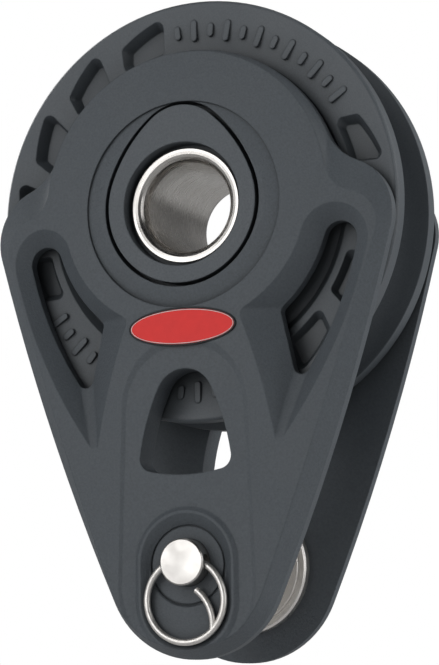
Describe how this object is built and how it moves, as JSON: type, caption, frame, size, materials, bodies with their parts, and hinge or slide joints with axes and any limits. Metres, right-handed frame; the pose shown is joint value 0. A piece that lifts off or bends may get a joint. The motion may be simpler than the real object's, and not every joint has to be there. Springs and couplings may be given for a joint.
{
  "type": "single sheave block",
  "caption": "Single boat block for rope: two moulded cheeks, a grooved sheave turning on a hollow hub, and a clevis pin held by a split ring.",
  "frame": {"origin": "middle of the hollow hub, half way between the cheeks", "axes": "+Y along the sheave axle towards the rear cheek, +Z from the clevis pin up to the hub, +X to the right as seen from the front"},
  "size_m": [0.075, 0.0363, 0.1168],
  "materials": {
    "moulded_nylon": "fine textured glass-filled nylon",
    "sheave_resin": "smooth matt acetal",
    "stainless": "polished stainless steel",
    "race_alloy": "hard anodised",
    "bearing_plastic": "moulded cage plastic",
    "bearing_plastic_light": "smooth acetal rolling elements",
    "badge_red": "plain red label"
  },
  "bodies": {
    "cheeks": {"front_cheek": "moulded_nylon", "rear_cheek": "moulded_nylon", "hub_tube": "stainless", "rear_hub_collar": "stainless", "front_hub_plate": "moulded_nylon", "rear_hub_plate": "moulded_nylon", "inner_race": "race_alloy", "front_pin_bush": "stainless", "rear_pin_bush": "stainless", "front_badge": "badge_red", "rear_badge": "badge_red"},
    "sheave": {"sheave": "sheave_resin", "sheave_race": "sheave_resin"},
    "roller_cage": {"roller_cage": "bearing_plastic", "rollers": "bearing_plastic_light"},
    "front_side_balls": {"front_ball_retainer": "bearing_plastic", "front_balls": "bearing_plastic_light"},
    "rear_side_balls": {"rear_ball_retainer": "bearing_plastic", "rear_balls": "bearing_plastic_light"},
    "clevis_pin": {"clevis_pin": "stainless"},
    "split_ring": {"split_ring": "stainless"}
  },
  "joints": [
    {"name": "sheave_spin", "type": "hinge", "parent": "cheeks", "child": "sheave", "pos_m": [0, 0, 0], "axis": [0, 1, 0], "continuous": true},
    {"name": "roller_cage_spin", "type": "hinge", "parent": "cheeks", "child": "roller_cage", "pos_m": [0, 0, 0], "axis": [0, 1, 0], "continuous": true},
    {"name": "front_side_balls_spin", "type": "hinge", "parent": "cheeks", "child": "front_side_balls", "pos_m": [0, 0, 0], "axis": [0, 1, 0], "continuous": true},
    {"name": "rear_side_balls_spin", "type": "hinge", "parent": "cheeks", "child": "rear_side_balls", "pos_m": [0, 0, 0], "axis": [0, 1, 0], "continuous": true},
    {"name": "clevis_pin_turn", "type": "hinge", "parent": "cheeks", "child": "clevis_pin", "pos_m": [0, 0, -0.0621], "axis": [0, 1, 0], "range_deg": [-3, 3]},
    {"name": "split_ring_swing", "type": "hinge", "parent": "clevis_pin", "child": "split_ring", "pos_m": [0, -0.01715, -0.0621], "axis": [-1, 0, 0], "range_deg": [0, 170]}
  ],
  "couplings": [
    {"joint": "roller_cage_spin", "follows": "sheave_spin", "ratio": 0.558},
    {"joint": "front_side_balls_spin", "follows": "sheave_spin", "ratio": 0.5},
    {"joint": "rear_side_balls_spin", "follows": "sheave_spin", "ratio": 0.5}
  ]
}
